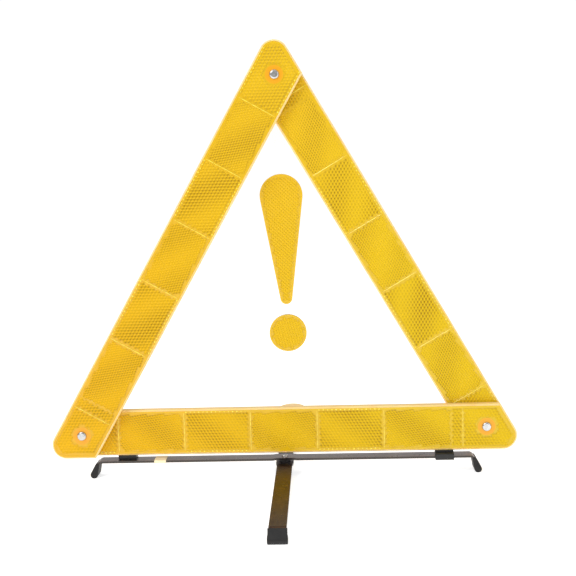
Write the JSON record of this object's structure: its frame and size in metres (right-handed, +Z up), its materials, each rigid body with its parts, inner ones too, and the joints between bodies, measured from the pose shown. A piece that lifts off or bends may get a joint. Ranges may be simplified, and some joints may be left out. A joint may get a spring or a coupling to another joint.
{
  "type": "folding warning triangle",
  "caption": "Yellow reflector triangle with a hanging exclamation mark, standing on two crossed flat strips; its arms fold flat along the bottom bar.",
  "frame": {"origin": "on the floor, under the centre rivet of the stand, which is the centre of the footprint", "axes": "+X along the bottom bar to the right as the lenses are looked at, +Y away from the lens side, +Z up"},
  "size_m": [0.4348, 0.3654, 0.401],
  "materials": {
    "yellow_lens": "clear yellow with fine prism fields",
    "orange_shell": "satin, slightly translucent at the rim",
    "bright_steel": "plated",
    "strip_steel": "dark satin",
    "black_rubber": "matt",
    "black_plastic": "satin",
    "pale_plastic": "satin cream",
    "clear_plastic": "clear"
  },
  "bodies": {
    "stand": {"base_strip": "strip_steel", "left_foot_cap": "black_rubber", "right_foot_cap": "black_rubber", "stand_rivet": "bright_steel", "stand_washer": "black_plastic", "strip_band": "pale_plastic"},
    "cross_leg": {"cross_leg": "strip_steel", "front_foot_cap": "black_rubber", "rear_foot_cap": "black_rubber"},
    "bottom_bar": {"bottom_bar_shell": "orange_shell", "bottom_bar_lens": "yellow_lens", "lower_left_rivet": "bright_steel", "lower_left_washer": "bright_steel", "lower_right_rivet": "bright_steel", "lower_right_washer": "bright_steel", "left_hook": "black_plastic", "right_hook": "black_plastic", "hook_screws": "bright_steel"},
    "left_arm": {"left_arm_shell": "orange_shell", "left_arm_lens": "yellow_lens", "apex_stud": "bright_steel"},
    "right_arm": {"right_arm_shell": "orange_shell", "right_arm_lens": "yellow_lens", "apex_socket": "bright_steel", "mark_spacer": "orange_shell"},
    "mark": {"mark_carrier": "clear_plastic", "carrier_tab": "pale_plastic", "mark_drop_lens": "yellow_lens", "mark_drop_back": "orange_shell", "mark_dot_lens": "yellow_lens", "mark_dot_back": "orange_shell"}
  },
  "joints": [
    {"name": "stand_turn", "type": "hinge", "parent": "stand", "child": "bottom_bar", "pos_m": [0, 0, 0.0162], "axis": [0, 0, -1], "range_deg": [0, 90]},
    {"name": "cross_leg_swing", "type": "hinge", "parent": "stand", "child": "cross_leg", "pos_m": [0, 0, 0.0122], "axis": [0, 0, 1], "range_deg": [0, 82]},
    {"name": "left_arm_fold", "type": "hinge", "parent": "bottom_bar", "child": "left_arm", "pos_m": [-0.189, 0, 0.0428], "axis": [0.006, 0.9999, -0.0103], "range_deg": [0, 60]},
    {"name": "right_arm_fold", "type": "hinge", "parent": "bottom_bar", "child": "right_arm", "pos_m": [0.189, 0, 0.0428], "axis": [-0.006, -0.9999, -0.0103], "range_deg": [0, 60]},
    {"name": "mark_swing", "type": "hinge", "parent": "right_arm", "child": "mark", "pos_m": [-0.00009, 0.0089, 0.37026], "axis": [0.006, -0.9999, -0.0103], "range_deg": [0, 28.6]}
  ],
  "couplings": [
    {"joint": "mark_swing", "follows": "right_arm_fold", "ratio": 0.47667}
  ]
}
